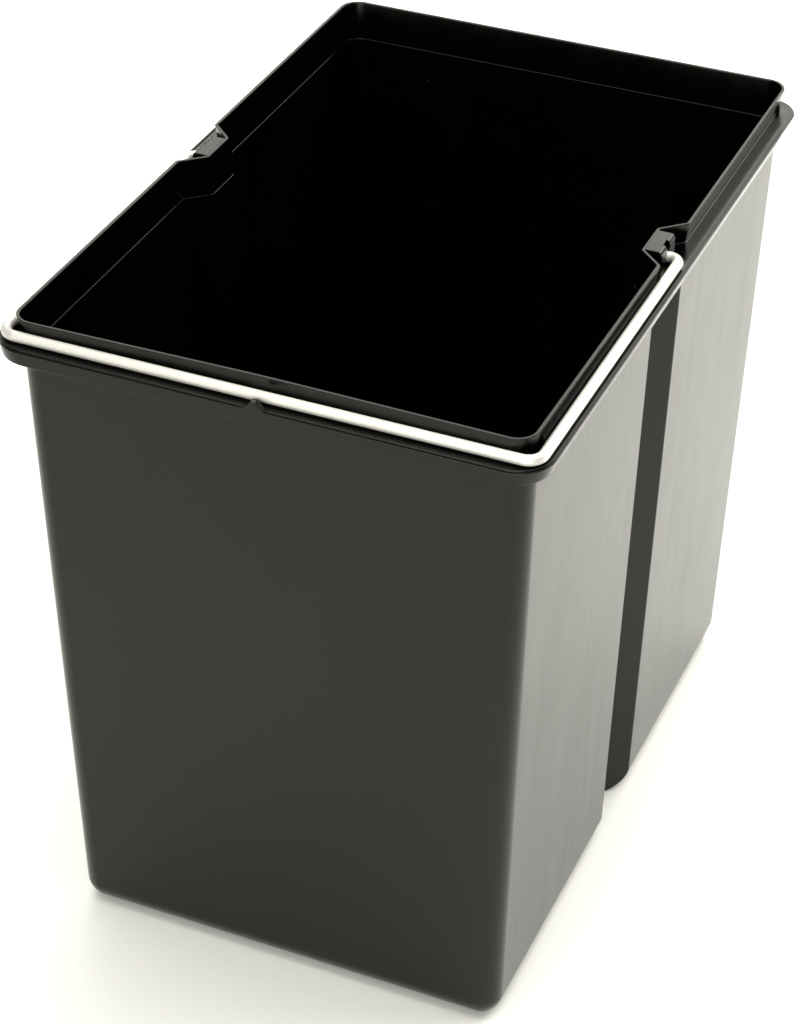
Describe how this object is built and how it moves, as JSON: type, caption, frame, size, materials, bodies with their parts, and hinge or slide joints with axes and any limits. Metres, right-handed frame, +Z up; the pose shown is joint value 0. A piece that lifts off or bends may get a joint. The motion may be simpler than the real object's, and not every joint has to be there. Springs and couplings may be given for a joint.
{
  "type": "waste bin bucket with wire bail",
  "caption": "Tapered rectangular plastic waste bucket for a pull-out kitchen unit, with a rim flange, a recess down each long side and a swinging wire bail.",
  "frame": {"origin": "on the ground, under the middle of the object's bounding box", "axes": "+Z up, +Y from the front (the side where the bail lies at rest) to the back, +X across the short side"},
  "size_m": [0.237, 0.3386, 0.314],
  "materials": {
    "bucket_plastic": "satin black injection-moulded polypropylene with a fine moulded texture",
    "nickel_wire": "nickel-plated drawn steel wire, bright satin"
  },
  "bodies": {
    "bucket": {"bucket": "bucket_plastic"},
    "bail": {"bail_handle": "nickel_wire"}
  },
  "joints": [
    {"name": "bail_swing", "type": "hinge", "parent": "bucket", "child": "bail", "pos_m": [0, 0.0041, 0.30745], "axis": [-1, 0, 0], "range_deg": [0, 179.8]}
  ]
}
